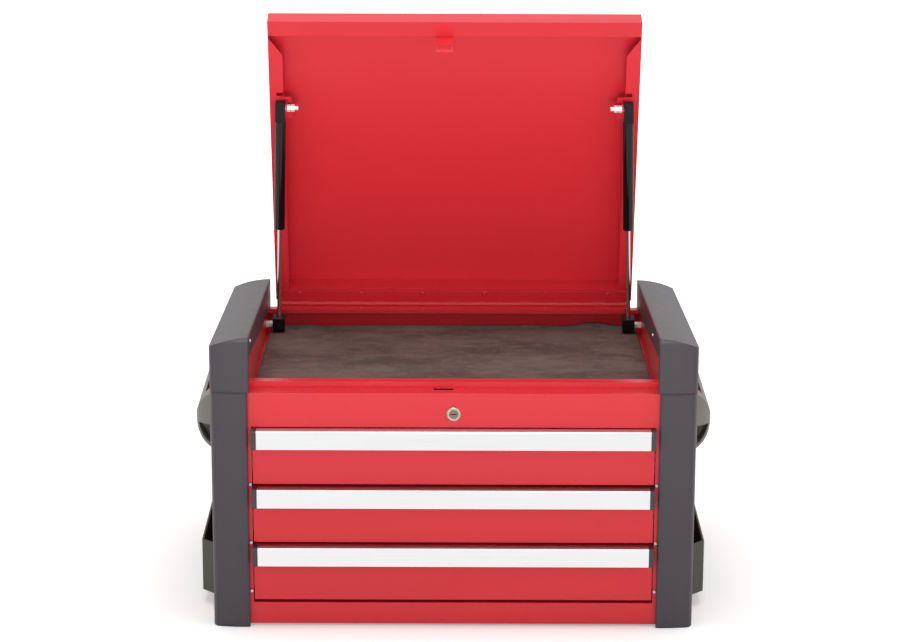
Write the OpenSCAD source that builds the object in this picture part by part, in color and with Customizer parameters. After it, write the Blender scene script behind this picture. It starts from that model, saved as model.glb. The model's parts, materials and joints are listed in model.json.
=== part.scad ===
// Portable steel tool chest: three drawers on telescopic slides, a felt-lined top
// compartment under a lid on a piano hinge and two gas struts, plastic corner posts and
// side caps, side handles and side pockets.
// X runs to the right, Y to the rear and Z up. The drawers face -Y, and the origin is on
// the floor under the middle of the chest, which is drawn with its lid open.

/* [Body] */
// Clear width between the two inner sides
bay_w = 548; // [480:1:640]
// Depth from the header's face to the back panel's outer face
body_d = 448; // [440:1:520]
// Width of each hollow side, from the inner side's face to the outer panel's face
side_w = 46; // [42:1:56]
// Thickness of the painted sheet steel
sheet = 1.2; // [1:0.1:1.5]
// Height of the base above the floor
base_z = 3; // [2:0.5:8]
// Height of the bottom rail
bottom_rail_h = 30; // [24:1:45]
// Height of the header panel with the lock
header_h = 47; // [44:1:58]
// Depth of the ledge behind the header's top edge
ledge_d = 27.6; // [26:0.1:34]
// Height of the compartment's rim above the ledge
rim_h = 8; // [6:0.5:8.5]
// Width of the rim's flat top
rim_d = 16; // [12:1:22]
// Depth of the compartment's floor below the ledge
floor_drop = 27; // [26:0.5:30]
// Depth of the rear shelf that carries the lid's hinge
shelf_d = 15; // [14:0.5:18]
// Height of the rear shelf above the ledge
shelf_rise = 2; // [1:0.5:4]
// Width of the flanges that the chest stands on
foot_flange = 30; // [20:1:40]
// Thickness of the compartment's felt mat
mat_t = 4; // [2:0.5:5]

/* [Drawers] */
// Distance from one drawer front to the next
drawer_pitch = 81.6; // [76:0.1:110]
// Gap between two drawer fronts
drawer_gap = 4; // [2.5:0.5:5]
// Gap between a drawer front and the side strips
front_side_gap = 1.3; // [1:0.1:2]
// Height of the space inside a drawer
tray_h = 60; // [45:1:64]
// Space between a drawer's tray and the back panel
tray_rear_gap = 20; // [16:0.5:60]
// Width of the gap that a drawer's slide fills on each side
slide_gap = 13; // [12.7:0.1:14]
// Length of a closed slide
slide_len = 400; // [360:1:405]
// Height of a slide's outer member
slide_h = 35; // [32:1:40]
// Height of an aluminium grip rail
grip_h = 25.3; // [20:0.1:32]
// Distance that a grip rail stands out from the drawer front
grip_d = 15.5; // [13:0.1:22]
// Thickness of a grip rail's wall
grip_t = 2; // [1.5:0.1:2.5]
// Width of the plastic cap on each end of a grip rail
grip_cap_w = 6.6; // [4:0.1:10]

/* [Posts and caps] */
// Distance that a corner post stands in front of the header
post_proud = 7; // [6:0.5:12]
// Distance that a corner post reaches back along the side
post_d = 46; // [36:1:70]
// Wall of the corner posts
post_wall = 3; // [2:0.5:3]
// Radius of the outer corner of posts and caps
corner_r = 16; // [10:1:22]
// Radius of the gently bowed front of posts and caps
bow_r = 150; // [130:5:300]
// Wall of the side caps
cap_wall = 3.4; // [3:0.1:4]
// Distance that the side caps reach in over the inner sides
cap_in_reach = 3.5; // [3.5:0.1:5]
// Height of the caps' front end above the ledge
cap_rise = 76; // [70:1:84]
// Height that the caps lose from front to rear
cap_fall = 34; // [20:1:38]
// Distance from the caps' top down to their inner skirt's edge, at the front
cap_inner_drop = 26; // [22:0.5:30]
// Radius of the caps' rounded front edge
cap_nose_r = 12; // [6:1:16]
// Radius of the caps' crowned top
cap_crown_r = 124; // [110:1:260]
// Height of the caps' lower edge above the ledge
cap_foot_rise = 2; // [0:0.5:5]

/* [Handles and pockets] */
// Distance that a handle stands out from the side
handle_reach = 32; // [30:1:38]
// Length of a handle
handle_len = 270; // [250:5:300]
// Height of a handle's centre
handle_z = 260; // [240:1:270]
// Radius of a handle's bulge, seen from the front
handle_bulge_r = 44; // [42:1:56]
// Thickness of a handle's grip
handle_grip_t = 12; // [11:1:14]
// Length of each solid end of a handle
handle_end = 38; // [30:1:50]
// Distance that a pocket stands out from the side
pocket_reach = 25; // [18:1:45]
// Length of a pocket's outer wall
pocket_len = 300; // [200:5:320]
// Height of a pocket's outer wall
pocket_h = 73; // [50:1:110]
// Height of a pocket's underside above the floor
pocket_z = 18.5; // [8:0.5:40]
// Height of a pocket's back plate
pocket_back_h = 100; // [80:1:130]
// Wall of the pockets
pocket_wall = 2.5; // [2:0.1:3.5]

/* [Lid and hinge] */
// Width of the lid
lid_w = 524.6; // [440:0.2:525]
// Depth of the lid's box
lid_d = 29; // [26:0.5:34]
// Angle through which the lid opens
lid_open = 74.3; // [60:0.1:85]
// Distance from the hinge's axis forward to the lid's rear wall
lid_set_fore = 22.9; // [21:0.1:26]
// Width of the flange along the lid's front edge
lid_front_flange = 22; // [18:0.5:24]
// Width of the flanges along the lid's sides
lid_side_flange = 20; // [16:0.5:24]
// Radius of the hinge's knuckles
knuckle_r = 3.4; // [3:0.1:4]
// Radius of the hinge's pin
hinge_pin_r = 1.5; // [1.2:0.1:1.8]
// Number of knuckles on the hinge
knuckles = 29; // [15:2:41]
// Length of the striker tab below the lid
tab_len = 50; // [46:0.5:50]
// Width of the striker tab
tab_w = 24; // [22:0.5:26]

/* [Struts] */
// Distance from the hinge to the struts' upper studs, along the lid
stud_along = 327; // [315:1:335]
// Distance of the upper studs below the hinge with the lid shut
stud_below = 12; // [11:0.5:13]
// Distance from the hinge's axis forward to the lower studs
stud_fore = 52.5; // [50:0.5:60]
// Distance of the lower studs below the hinge's axis
stud_drop = 17.4; // [17:0.1:17.6]
// Length of the lid's brackets for the upper studs
stud_bracket_len = 34; // [28:1:44]
// Length of a gas cylinder
cylinder_len = 163; // [150:1:165]
// Distance of the piston above a cylinder's lower end with the lid open
piston_rise = 34; // [20:1:50]
// Radius of the gas cylinders
cylinder_r = 7.5; // [7:0.5:8]
// Radius of the piston rods
rod_r = 3; // [2.5:0.5:4]

/* [Lock] */
// Distance from the ledge down to the lock's middle
lock_drop = 28; // [24:0.5:30]
// Radius of the lock's flange
lock_flange_r = 9.3; // [9.2:0.1:10]
// Radius of the lock's body
lock_body_r = 8.6; // [8:0.1:8.7]
// Radius of the turning barrel
barrel_r = 6; // [5.5:0.1:6.5]
// Distance that the drawer lock bar moves
lock_travel = 6; // [5:0.5:7]

/* [Hidden] */
$fn = 64;
play = 0.3;                 // gap between neighbours that only rest beside each other
run_fit = 0.05;             // radial clearance of pins and shafts in their holes
touch = 0.01;               // overlap of two shapes that are joined into one
seam = 0.05;                // hairline between sheets that are spot-welded together

// Places of the body's main faces
bay_x = bay_w / 2;
skin_x = bay_x + side_w;
front_y = -body_d / 2 - 5;
back_y = front_y + body_d;
base_top = base_z + bottom_rail_h;
stack_gap = 4.8;            // between the bottom rail and the lowest drawer front
header_gap = 1.4;           // between the top drawer front and the header
front_h = drawer_pitch - drawer_gap;
function drawer_z(n) = base_top + stack_gap + (3 - n) * drawer_pitch;
header_z = drawer_z(1) + front_h + header_gap;
ledge_z = header_z + header_h;
rim_z = ledge_z + rim_h;
rim_y = front_y + ledge_d;
rim_back = rim_y + rim_d;
floor_z = ledge_z - floor_drop;
shelf_z = ledge_z + shelf_rise;
shelf_y = back_y - shelf_d;
shelf_lip = 6.4;

// Drawers
strip_x = bay_x - 5.4;      // inner edge of the strips beside the drawer fronts
front_x = strip_x - front_side_gap;
front_face = front_y - 1.5;
slide_x = strip_x;          // the outer slide members stand on brackets, level with the strips
tray_x = slide_x - slide_gap;
tray_y = front_face + sheet;
tray_d = back_y - tray_rear_gap - tray_y;
front_back = front_y + 10;  // rear edge of the returns round a drawer front
tray_t = 1;
tray_floor = 5;             // height of a tray's underside above its front's lower edge
slide_t = 1.2;
slide_y = front_y + 11;
bracket_h = 24;             // height of the bracket behind each outer slide member
slide_z = 30;               // height of a slide's middle above the drawer front's lower edge
grip_face = front_face - grip_d;
grip_x = front_x - grip_cap_w + 1;

// Posts and caps
post_x = bay_x - 0.5;
post_out = skin_x + post_wall;
flange_x = skin_x - 8;      // outer edge of the front flanges, behind the posts
skin_y = front_y + 6;       // front edge of the outer side panels
post_y = front_y - post_proud;
cap_x = bay_x - cap_in_reach;
cap_out = skin_x + cap_wall;
cap_y = post_y - 2.5;
cap_back = back_y + 7;
cap_bottom = ledge_z + cap_foot_rise;
cap_z = ledge_z + cap_rise;
cap_len = cap_back - cap_y;
cap_slope = cap_fall / cap_len;
cap_angle = atan(cap_slope);
post_back = post_y + post_d;
function cap_top(y) = cap_z - (y - cap_y) * cap_slope;
skirt_front_z = cap_z - cap_inner_drop; // lower edge of the cap's inner skirt at the front
skirt_rear_z = shelf_z + 0.5;
skirt_slope = (skirt_front_z - skirt_rear_z) / (shelf_y - front_y);
function skirt_edge(y) = skirt_front_z - (y - front_y) * skirt_slope;
crown_drop = cap_crown_r - sqrt(pow(cap_crown_r, 2) - pow(cap_out - cap_x, 2));
skin_drop = crown_drop + cap_wall + play;  // from the cap's ridge to the outer panel's top edge

// Lid, in the shut position
hinge_y = back_y + knuckle_r + 0.1;
leaf_t = 1.2;
body_leaf_len = hinge_y - shelf_y;
lid_leaf_len = 20.5;
hinge_z = shelf_z + knuckle_r;
lid_x = lid_w / 2;
lid_z = hinge_z + knuckle_r;
lid_top = lid_z + lid_d;
lid_front = front_y - 2;
lid_rear = hinge_y - lid_set_fore;
hinge_x = lid_x - 2.3;
knuckle_pitch = 2 * hinge_x / knuckles;
rivet_r = 2.4;
body_rivet_y = hinge_y - 13.5;
lid_rivet_y = hinge_y - 16;
rivet_pitch = 91;
rivet_head = 1.2;

// Studs and struts
plate_x = 237;              // inner face of the lid's strut brackets
upper_x = plate_x + 9;
lower_x = bay_x - 19;
stud_r = 3;
ball_r = 5;
lower_y = hinge_y - stud_fore;
lower_z = hinge_z - stud_drop;
upper_y = hinge_y - stud_along * cos(lid_open) - stud_below * sin(lid_open);
upper_z = hinge_z + stud_along * sin(lid_open) - stud_below * cos(lid_open);
strut_len = norm([upper_x - lower_x, upper_y - lower_y, upper_z - lower_z]);
strut_splay = asin((lower_x - upper_x) / strut_len);
strut_angle = atan2(upper_z - lower_z, upper_y - lower_y) - 90;
socket_end = 9;
socket_root = 19.4;           // from the upper stud down to the gas cylinder
cylinder_top = strut_len - socket_root;
cylinder_foot = cylinder_top - cylinder_len;
block_top = 12;
block_foot_r = 9.5;
block_corner_r = min(1.22 * block_foot_r, lower_z - floor_z - mat_t - 0.5);

// Lock, latch and drawer lock bar
lock_z = ledge_z - lock_drop;
lock_back = front_y + 14.5;
tab_x = -14;
tab_t = 1.6;
flange_edge = lid_front + lid_front_flange;
tab_y = flange_edge + tab_t;
window_w = 18.5;
window_h = 16;
window_z = 35;              // from the lid's underside down to the window's middle
lever_y = lock_back - 1;
lever_z = header_z + 4.5;
lever_x0 = -22.5;
lever_x1 = -10;
bar_x = 235;
bar_w = 20;
bar_y = back_y - 12.5;
bar_t = 1.5;
guide_y = 5.2;              // depth of the guides' gap around the bar

red = "firebrick";
dark_plastic = "dimgray";
steel = "silver";

// ---- helpers ----

// Draws its children on the right (side 1) or mirrored to the left (side -1)
module on_side(side) {
    if (side < 0) mirror([1, 0, 0]) children();
    else children();
}

// A box from its lowest to its highest corner
module block(low, high) {
    translate(low) cube(high - low);
}

// Extrudes a Y-Z outline along X, from x0 to x1
module along_x(x0, x1) {
    translate([x0, 0, 0]) rotate([90, 0, 90]) linear_extrude(x1 - x0) children();
}

// Extrudes an X-Z outline along Y, from y0 to y1
module along_y(y0, y1) {
    translate([0, y1, 0]) rotate([90, 0, 0]) linear_extrude(y1 - y0) children();
}

// A round bar along X
module rod_x(x0, x1, y, z, r) {
    translate([x0, y, z]) rotate([0, 90, 0]) cylinder(h = x1 - x0, r = r);
}

// A round bar along Y
module rod_y(x, y0, y1, z, r) {
    translate([x, y1, z]) rotate([90, 0, 0]) cylinder(h = y1 - y0, r = r);
}

// Places its children from the shut lid's position to the open one
module lid_opened() {
    translate([0, hinge_y, hinge_z]) rotate([-lid_open, 0, 0])
        translate([0, -hinge_y, -hinge_z]) children();
}

// Plan outline of a post or a cap: bowed front and a round outer corner
module corner_plan(x0, x1, y0, y1, r, bow) {
    intersection() {
        difference() {
            translate([x0, y0]) square([x1 - x0, y1 - y0]);
            difference() {
                translate([x1 - r, y0 - 1]) square([r + 1, r + 1]);
                translate([x1 - r, y0 + r]) circle(r);
            }
        }
        union() {
            translate([x0 + 10, y0 + bow]) circle(bow, $fn = 180);
            translate([x0 - 1, y0 + corner_r]) square([x1 - x0 + 2, y1 - y0]);
        }
    }
}

// ---- body shell ----

handle_screw_y = handle_len / 2 - handle_end / 2;
handle_screw_z = 18;
handle_wall = 4;            // outer wall of the hollow under each end of a handle
screw_r = 1.8;

module handle_screw_places() {
    for (y = [-1, 1], z = [-1, 1]) translate([0, y * handle_screw_y, handle_z + z * handle_screw_z])
        children();
}

pocket_screw_y = pocket_len / 2 - 30;
pocket_mid_y = 10;
pocket_screw_z = pocket_z + pocket_back_h - 8;

module pocket_screw_places() {
    for (y = [-1, 1]) translate([0, pocket_mid_y + y * pocket_screw_y, pocket_screw_z])
        children();
}

module side_panel(side) {
    color(red) on_side(side) difference() {
        union() {
            along_x(skin_x - sheet, skin_x) polygon([
                [skin_y, 0], [back_y, 0],
                [back_y, cap_top(back_y) - skin_drop], [skin_y, cap_top(skin_y) - skin_drop]]);
            block([skin_x - foot_flange, skin_y, 0], [skin_x - touch, back_y - sheet, sheet]);
        }
        handle_screw_places() rod_x(skin_x - 2 * sheet, skin_x + sheet, 0, 0, screw_r + run_fit);
        pocket_screw_places() rod_x(skin_x - 2 * sheet, skin_x + sheet, 0, 0, screw_r + run_fit);
    }
}

strip_screw_r = 1.4;
function strip_screw_z(n) = drawer_z(n) + (n == 3 ? 12 : -1);
strip_screw_x = (strip_x + post_x) / 2;
cap_tuck = 8;               // height of the inner side that the cap's skirt hides

module inner_side(side) {
    color(red) on_side(side) difference() {
        union() {
            along_x(bay_x, bay_x + sheet) polygon([
                [front_y, base_z + sheet], [back_y - sheet, base_z + sheet],
                [back_y - sheet, skirt_rear_z + cap_tuck], [shelf_y, skirt_rear_z + cap_tuck],
                [front_y, skirt_front_z + cap_tuck]]);
            block([bay_x, front_y, base_z + sheet], [flange_x, front_y + sheet, ledge_z]);
            block([strip_x, front_y, base_top], [bay_x + touch, front_y + sheet, header_z]);
            for (n = [1 : 3]) slide_bracket(drawer_z(n) + slide_z);
        }
        rod_x(bay_x - 1, bay_x + sheet + 1, lower_y, lower_z, stud_r + run_fit);
        for (n = [1 : 3])
            rod_y(strip_screw_x, front_y - 1, front_y + sheet + 1, strip_screw_z(n),
                  strip_screw_r + run_fit);
    }
}

// A channel that holds an outer slide member level with the strips
module slide_bracket(z) {
    rear = slide_y + slide_len;
    difference() {
        block([slide_x, slide_y, z - bracket_h / 2], [bay_x + touch, rear, z + bracket_h / 2]);
        block([slide_x + sheet, slide_y - 1, z - bracket_h / 2 + sheet],
              [bay_x, rear + 1, z + bracket_h / 2 - sheet]);
    }
}

guide_z = [80, 170, 262];
guide_h = 10;

module back_panel() {
    wing_z = min(cap_top(back_y) - skin_drop, skirt_rear_z + cap_tuck);
    color(red) union() {
        along_y(back_y - sheet, back_y) polygon([
            [-skin_x + sheet, base_z], [skin_x - sheet, base_z], [skin_x - sheet, wing_z],
            [bay_x + sheet, wing_z], [bay_x + sheet, shelf_z], [-bay_x - sheet, shelf_z],
            [-bay_x - sheet, wing_z], [-skin_x + sheet, wing_z]]);
        for (z = guide_z) lock_bar_guide(z);
    }
}

// A folded strap around the drawer lock bar
module lock_bar_guide(z) {
    half = bar_w / 2 + play;
    y0 = bar_y - play;
    difference() {
        block([bar_x - half - sheet, y0 - sheet, z - guide_h / 2],
              [bar_x + half + sheet, back_y - sheet + touch, z + guide_h / 2]);
        block([bar_x - half, y0, z - guide_h], [bar_x + half, y0 + guide_y, z + guide_h]);
        block([bar_x - half + 3, y0, z - guide_h], [bar_x + half - 3, back_y - sheet, z + guide_h]);
    }
}

module base_panel() {
    color(red) union() {
        block([-skin_x + sheet, skin_y, base_z], [skin_x - sheet, back_y - sheet, base_z + sheet]);
        block([-flange_x, front_y, base_z], [flange_x, skin_y + touch, base_z + sheet]);
        block([-bay_x, front_y, base_z], [bay_x, front_y + sheet, base_top]);
        block([-bay_x, front_y, base_top - sheet], [bay_x, front_y + 12, base_top]);
    }
}

ear_x = [lever_x0 - 3.5, lever_x1 + 2];
ear_t = 1.5;
ear_top = lever_z + 4;
lever_pin_r = 1.5;

module header_panel() {
    color(red) difference() {
        union() {
            along_x(-bay_x, bay_x) polygon([
                [front_y, header_z], [front_y + 14, header_z], [front_y + 14, header_z + sheet],
                [front_y + sheet, header_z + sheet], [front_y + sheet, ledge_z - sheet],
                [rim_y + sheet, ledge_z - sheet], [rim_y + sheet, rim_z - sheet],
                [rim_back - sheet, rim_z - sheet], [rim_back - sheet, floor_z - sheet],
                [rim_back, floor_z - sheet], [rim_back, rim_z], [rim_y, rim_z],
                [rim_y, ledge_z], [front_y, ledge_z]]);
            for (x = ear_x)
                block([x, front_y + touch, header_z + touch], [x + ear_t, lever_y + 2.3, ear_top]);
        }
        rod_y(0, front_y - 1, front_y + sheet + 1, lock_z, lock_body_r + play / 3);
        block([tab_x - tab_w / 2 - 1, tab_y - tab_t - 3.9, ledge_z - 2 * sheet],
              [tab_x + tab_w / 2 + 1, tab_y + 2.5, ledge_z + 1]);
        rod_x(ear_x[0] - 1, ear_x[1] + ear_t + 1, lever_y, lever_z, lever_pin_r + run_fit);
    }
}

module compartment_floor() {
    color(red) union() {
        block([-bay_x, rim_back, floor_z - sheet], [bay_x, back_y - sheet, floor_z]);
        block([-bay_x, rim_back, floor_z - 10], [bay_x, rim_back + sheet, floor_z - sheet + touch]);
    }
}

module rear_shelf() {
    color(red) difference() {
        union() {
            block([-bay_x, shelf_y, shelf_z - sheet], [bay_x, back_y - sheet, shelf_z]);
            block([-bay_x, shelf_y, shelf_z - shelf_lip], [bay_x, shelf_y + sheet, shelf_z - sheet + touch]);
        }
        rivet_holes(body_rivet_y, shelf_z);
    }
}

module compartment_mat() {
    color("saddlebrown")
        block([-bay_x + 1, rim_back + 1, floor_z], [bay_x - 1, back_y - sheet - 1.8, floor_z + mat_t]);
}

// ---- corner posts and side caps ----

module corner_post(side) {
    rib_x = (post_x + skin_x) / 2;
    color(dark_plastic) on_side(side) linear_extrude(cap_bottom) union() {
        difference() {
            corner_plan(post_x, post_out, post_y, post_back, corner_r, bow_r);
            corner_plan(post_x + post_wall, skin_x, post_y + post_wall, post_back + 1,
                        corner_r - post_wall, bow_r - post_wall);
            translate([post_x - 1, front_y]) square([flange_x + play - post_x + 1, post_d]);
            translate([post_x - 1, skin_y - play]) square([skin_x - post_x + 1, post_d]);
        }
        translate([rib_x, post_y + post_wall / 2])
            square([post_wall, front_y - post_y - post_wall / 2]);
    }
}

// Side view of a cap: rounded nose, sloping top, skirt that follows the slope
module cap_side_view() {
    nose_z = cap_z - cap_slope * cap_nose_r - cap_nose_r / cos(cap_angle);
    intersection() {
        polygon([
            [cap_y, cap_bottom], [cap_back, cap_bottom],
            [cap_back, cap_top(cap_back)], [cap_y, cap_z]]);
        union() {
            translate([cap_y + cap_nose_r, nose_z]) circle(cap_nose_r);
            translate([cap_y + cap_nose_r, 0]) square([cap_len, 2 * cap_z]);
            square([4 * cap_len, 2 * nose_z], center = true);
        }
    }
}

// Section through a cap's crowned top, drop being the distance below the ridge
module cap_crown(x0, x1, drop) {
    intersection() {
        translate([cap_x, -drop - cap_crown_r]) circle(cap_crown_r, $fn = 180);
        translate([x0, -2 * cap_z]) square([x1 - x0, 2 * cap_z]);
    }
}

// The crowned section, swept down the slope of the cap's top
module cap_sweep(x0, x1, drop) {
    translate([0, cap_y, cap_z]) rotate([-cap_angle, 0, 0]) rotate([90, 0, 0])
        translate([0, 0, -2 * cap_len]) linear_extrude(3 * cap_len) cap_crown(x0, x1, drop);
}

module side_cap(side) {
    wall_y = cap_y + cap_wall;
    color(dark_plastic) on_side(side) difference() {
        intersection() {
            along_x(cap_x, cap_out) cap_side_view();
            cap_sweep(cap_x, cap_out, 0);
            linear_extrude(2 * cap_z)
                corner_plan(cap_x, cap_out, cap_y, cap_back, corner_r, bow_r);
        }
        // the hollow over the body's side
        intersection() {
            cap_sweep(bay_x - 0.5, skin_x, cap_wall);
            block([bay_x - 0.5, front_y - touch, 0], [skin_x, cap_back - cap_wall, 2 * cap_z]);
        }
        // the hollow of the front end
        intersection() {
            cap_sweep(cap_x + cap_wall, skin_x, cap_wall + cap_nose_r / 2);
            linear_extrude(2 * cap_z)
                corner_plan(cap_x + cap_wall, skin_x, wall_y, front_y + 1,
                            corner_r - cap_wall, bow_r - cap_wall);
        }
        // the window that leaves the inner side open below the skirt
        along_x(cap_x - 1, bay_x) polygon([
            [front_y - touch, 0], [cap_back + 1, 0], [cap_back + 1, skirt_rear_z],
            [shelf_y, skirt_rear_z], [front_y - touch, skirt_front_z]]);
    }
}

// ---- handles and pockets ----

module side_handle(side) {
    grip_x0 = skin_x + handle_reach - handle_grip_t;
    color("gray") on_side(side) difference() {
        intersection() {
            along_y(-handle_len / 2, handle_len / 2)
                translate([skin_x + handle_reach - handle_bulge_r, handle_z])
                    circle(handle_bulge_r, $fn = 120);
            linear_extrude(2 * handle_z) handle_plan();
        }
        block([skin_x - 1, -handle_len / 2 + handle_end, 0],
              [grip_x0, handle_len / 2 - handle_end, 2 * handle_z]);
        // the hollow under each end, open to the front or to the rear
        for (s = [-1, 1]) scale([1, s, 1])
            along_y(-handle_len / 2 - 1, -handle_len / 2 + handle_end - handle_wall)
                intersection() {
                    translate([skin_x + handle_reach - handle_bulge_r, handle_z])
                        circle(handle_bulge_r - handle_wall, $fn = 120);
                    translate([skin_x + 12, 0]) square([handle_reach, handle_z - 6]);
                }
        handle_screw_places() rod_x(skin_x - 1, skin_x + 10, 0, 0, screw_r + run_fit);
    }
}

// Plan of a handle: a bar with two large round ends, cut off at the side panel
module handle_plan() {
    r = handle_reach - 2;
    y = handle_len / 2 - r;
    intersection() {
        translate([skin_x, -handle_len]) square([handle_reach, 2 * handle_len]);
        union() {
            for (s = [-1, 1]) translate([skin_x + handle_reach - r, s * y]) circle(r, $fn = 120);
            translate([skin_x, -y]) square([handle_reach, 2 * y]);
        }
    }
}

// Plan of a pocket: an outer wall with slanted ends, offset inward by a wall
module pocket_plan(wall) {
    run = pocket_reach - pocket_wall;
    y = pocket_len / 2;
    translate([0, pocket_mid_y]) polygon([
        [skin_x + (wall > 0 ? pocket_wall : 0), -y - run + wall * 1.4],
        [skin_x + pocket_wall, -y - run + wall * 1.4],
        [skin_x + pocket_reach - wall, -y + wall * 0.4],
        [skin_x + pocket_reach - wall, y - wall * 0.4],
        [skin_x + pocket_wall, y + run - wall * 1.4],
        [skin_x + (wall > 0 ? pocket_wall : 0), y + run - wall * 1.4]]);
}

module side_pocket(side) {
    run = pocket_reach - pocket_wall;
    color(dark_plastic) on_side(side) difference() {
        union() {
            translate([0, 0, pocket_z]) linear_extrude(pocket_h) pocket_plan(0);
            block([skin_x, pocket_mid_y - pocket_len / 2 - run, pocket_z],
                  [skin_x + pocket_wall, pocket_mid_y + pocket_len / 2 + run, pocket_z + pocket_back_h]);
        }
        translate([0, 0, pocket_z + pocket_wall]) linear_extrude(pocket_h) pocket_plan(pocket_wall);
        pocket_screw_places() rod_x(skin_x - 1, skin_x + pocket_wall + 1, 0, 0, screw_r + run_fit);
    }
}

// A pan-head screw along X: its head lies on the face at x and its shank runs outward
module screw_x(x, shank, head_r, head_h) {
    rod_x(x - head_h, x, 0, 0, head_r);
    rod_x(x - touch, x + shank, 0, 0, screw_r);
}

module screws() {
    color(steel) for (side = [-1, 1]) on_side(side) {
        handle_screw_places() screw_x(skin_x - sheet, sheet + 8, 4, 2.4);
        pocket_screw_places() union() {
            rod_x(skin_x - sheet, skin_x + pocket_wall + touch, 0, 0, screw_r);
            rod_x(skin_x + pocket_wall, skin_x + pocket_wall + 2, 0, 0, 4);
        }
        for (n = [1 : 3]) {
            rod_y(strip_screw_x, front_y - 1.3, front_y, strip_screw_z(n), 1.9);
            rod_y(strip_screw_x, front_y - touch, front_y + 4, strip_screw_z(n), strip_screw_r);
        }
    }
}

// ---- drawers ----

// Section of one slide member in X-Z: a web with two flanges
module slide_section(web_x, open_x, half_h) {
    low = min(web_x, open_x);
    high = max(web_x, open_x);
    web = web_x < open_x ? web_x : web_x - slide_t;
    union() {
        translate([web, -half_h]) square([slide_t, 2 * half_h]);
        for (z = [-half_h, half_h - slide_t]) translate([low, z]) square([high - low, slide_t]);
    }
}

slide_play = 0.6;
middle_half = slide_h / 2 - slide_t - slide_play;
inner_half = middle_half - slide_t - slide_play;

module slide_pair(n) {
    for (side = [-1, 1]) on_side(side) along_y(slide_y, slide_y + slide_len)
        translate([0, drawer_z(n) + slide_z]) children();
}

module slides_outer() {
    color(steel) for (n = [1 : 3])
        slide_pair(n) slide_section(slide_x, slide_x - 7.5, slide_h / 2);
}

module slides_middle(n) {
    color(steel) slide_pair(n)
        slide_section(slide_x - slide_t - 0.8, slide_x - slide_gap + 2.5, middle_half);
}

module slides_inner(n) {
    color(steel) slide_pair(n) slide_section(tray_x, slide_x - 2 * slide_t - 1.8, inner_half);
}

// A floor and four walls, spot-welded along their seams
module drawer_tray(n) {
    z0 = drawer_z(n) + tray_floor;
    z1 = z0 + tray_t + tray_h;
    back = tray_y + tray_d;
    color(red) {
        block([-tray_x, tray_y, z0], [tray_x, back, z0 + tray_t]);
        for (y = [tray_y, back - tray_t])
            block([-tray_x + tray_t + seam, y, z0 + tray_t + seam], [tray_x - tray_t - seam, y + tray_t, z1]);
        for (side = [-1, 1]) on_side(side)
            block([tray_x - tray_t, tray_y, z0 + tray_t + seam], [tray_x, back, z1]);
    }
}

module drawer_front(n) {
    z0 = drawer_z(n);
    color(red) difference() {
        block([-front_x, front_face, z0], [front_x, front_back, z0 + front_h]);
        block([-front_x + sheet, front_face + sheet, z0 + sheet],
              [front_x - sheet, front_back + 1, z0 + front_h - sheet]);
    }
}

// Section of the grip rail in Y-Z: a top, a front plate and a back flange
module grip_section() {
    polygon([
        [0, 0], [grip_t, 0], [grip_t, grip_h - grip_t], [grip_d - grip_t, grip_h - grip_t],
        [grip_d - grip_t, grip_h - 12], [grip_d, grip_h - 12], [grip_d, grip_h],
        [1.2, grip_h], [0, grip_h - 1.2]]);
}

module grip_rail(n) {
    color("gainsboro") translate([0, grip_face, drawer_z(n) + front_h - grip_h])
        along_x(-grip_x, grip_x) grip_section();
}

module grip_caps(n) {
    color(dark_plastic) for (side = [-1, 1]) on_side(side)
        translate([0, grip_face - 0.4, drawer_z(n) + front_h - grip_h - 0.4])
            along_x(grip_x, grip_x + grip_cap_w) difference() {
                square([grip_d + 0.4, grip_h + 0.4]);
                translate([-touch, grip_h - 1.1]) polygon([[0, 0], [0, 2], [2, 2]]);
            }
}

// ---- hinge and lid ----

// One leaf of the piano hinge, shut: a plate from leaf_z up, and every second knuckle
module hinge_leaf(leaf_z, leaf_len, first) {
    room = play / 2;
    difference() {
        union() {
            block([-hinge_x, hinge_y - leaf_len, leaf_z], [hinge_x, hinge_y, leaf_z + leaf_t]);
            rod_x(-hinge_x, hinge_x, hinge_y, hinge_z, knuckle_r);
        }
        for (k = [first : 2 : knuckles - 1])
            rod_x(-hinge_x + k * knuckle_pitch - room, -hinge_x + (k + 1) * knuckle_pitch + room,
                  hinge_y, hinge_z, knuckle_r + play);
        rod_x(-hinge_x - 1, hinge_x + 1, hinge_y, hinge_z, hinge_pin_r + run_fit);
    }
}

module rivet_places(y) {
    for (k = [-2.5 : 1 : 2.5]) translate([k * rivet_pitch, y, 0]) children();
}

module rivet_holes(y, z) {
    rivet_places(y) translate([0, 0, z - 4 * sheet]) cylinder(h = 8 * sheet, r = rivet_r + run_fit);
}

// A rivet through the two sheets between z0 and z1, with a bevelled head on each side
module rivet(z0, z1) {
    translate([0, 0, z0 - touch]) cylinder(h = z1 - z0 + 2 * touch, r = rivet_r);
    translate([0, 0, z0 - rivet_head]) cylinder(h = rivet_head, r1 = rivet_r, r2 = rivet_r + 1.2);
    translate([0, 0, z1]) cylinder(h = rivet_head, r1 = rivet_r + 1.2, r2 = rivet_r);
}

module hinge_leaf_body() {
    color("indianred") difference() {
        hinge_leaf(shelf_z, body_leaf_len, 1);
        rivet_holes(body_rivet_y, shelf_z);
    }
}

module hinge_pin() {
    color(steel) rod_x(-hinge_x, hinge_x, hinge_y, hinge_z, hinge_pin_r);
}

module body_rivets() {
    color("indianred") rivet_places(body_rivet_y) rivet(shelf_z - sheet, shelf_z + leaf_t);
}

module hinge_leaf_lid() {
    color("indianred") lid_opened() difference() {
        hinge_leaf(lid_z - leaf_t, lid_leaf_len, 0);
        rivet_holes(lid_rivet_y, lid_z);
    }
}

module lid_rivets() {
    color("indianred") lid_opened() rivet_places(lid_rivet_y) rivet(lid_z - leaf_t, lid_z + sheet);
}

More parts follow.
